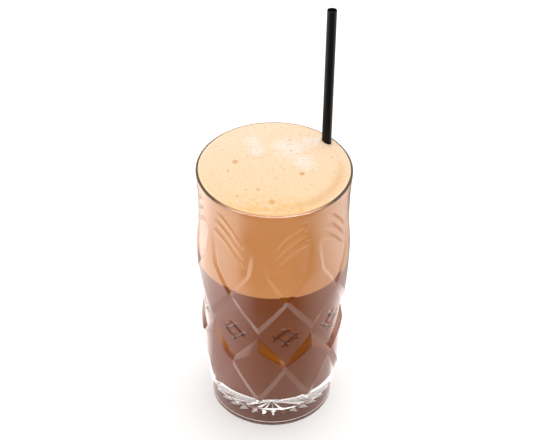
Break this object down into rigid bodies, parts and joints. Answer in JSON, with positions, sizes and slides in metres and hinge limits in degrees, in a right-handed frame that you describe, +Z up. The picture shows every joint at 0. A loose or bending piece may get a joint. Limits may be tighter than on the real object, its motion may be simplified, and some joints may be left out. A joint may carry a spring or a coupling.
{
  "type": "iced coffee in a cut-glass tumbler",
  "caption": "Tall cut-glass tumbler of iced coffee under a thick layer of pale foam, with a straight black drinking straw leaning at the back.",
  "frame": {"origin": "centre of the foot's underside, on the table", "axes": "+Z up along the glass, -Y towards the viewer, +X to the viewer's right"},
  "size_m": [0.08, 0.08, 0.2258],
  "materials": {
    "clear_glass": "clear, polished, with sharp wheel-cut facets",
    "coffee": "dark reddish brown liquid, still",
    "milk_foam": "cream to light tan foam, matt, with fine bubbles",
    "straw_plastic": "black, smooth"
  },
  "bodies": {
    "root": {"glass": "clear_glass", "coffee": "coffee", "foam": "milk_foam", "straw": "straw_plastic"}
  },
  "joints": []
}
